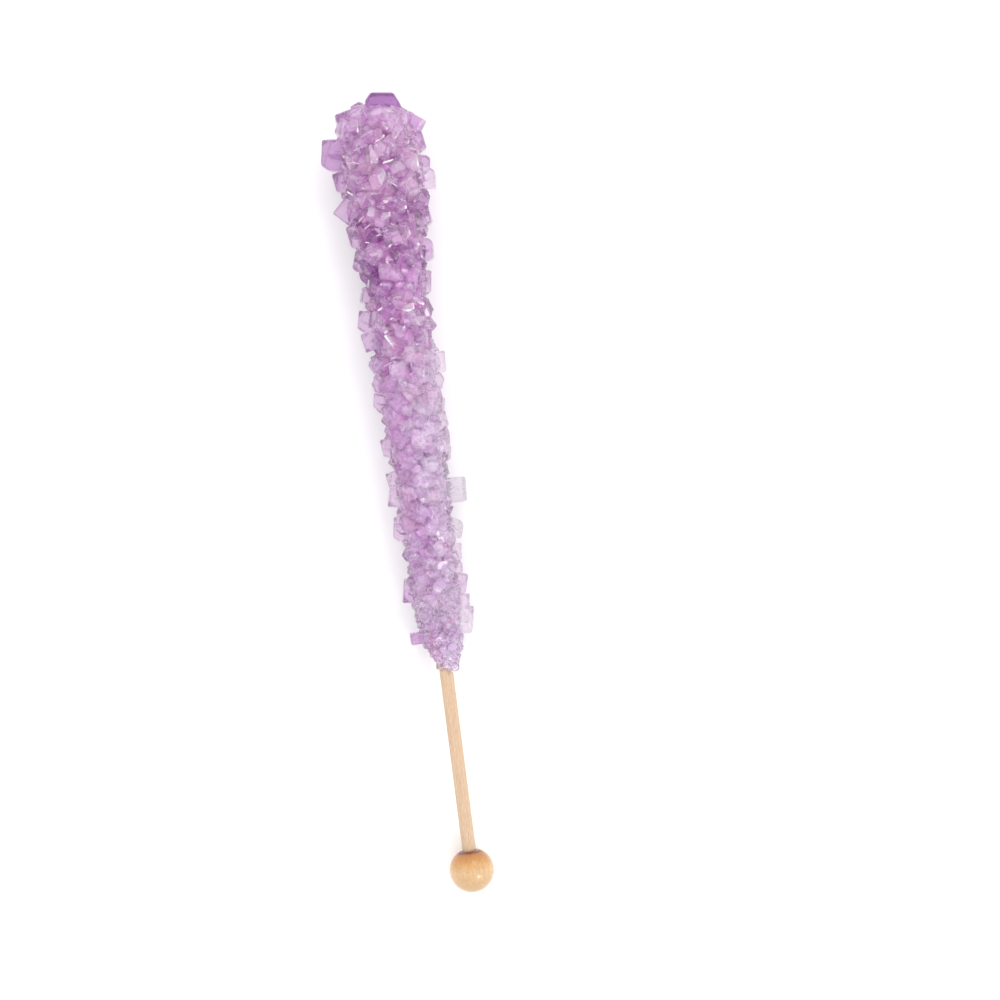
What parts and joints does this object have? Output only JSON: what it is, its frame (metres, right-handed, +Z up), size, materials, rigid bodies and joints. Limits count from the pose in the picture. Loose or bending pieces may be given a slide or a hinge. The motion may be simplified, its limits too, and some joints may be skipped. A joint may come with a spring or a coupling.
{
  "type": "rock candy stick",
  "caption": "Rock candy stick: lavender sugar crystals grown on a thin wooden dowel, thick at the tip and tapering, with a varnished wooden ball as the handle.",
  "frame": {"origin": "on the table, under the middle of the stick's bounding box, with the stick lying on its side", "axes": "+Y along the stick from the ball towards the candy's tip, +Z up from the table, +X to the right when seen from above with the tip up"},
  "size_m": [0.0246, 0.1774, 0.0197],
  "materials": {
    "rock_sugar": "clear lavender sugar crystals, slightly clouded",
    "bare_wood": "bare pale birch, fine lengthwise grain",
    "varnished_wood": "clear varnish on honey-coloured wood"
  },
  "bodies": {
    "root": {"rock_candy": "rock_sugar", "wooden_dowel": "bare_wood", "wooden_ball": "varnished_wood"}
  },
  "joints": []
}
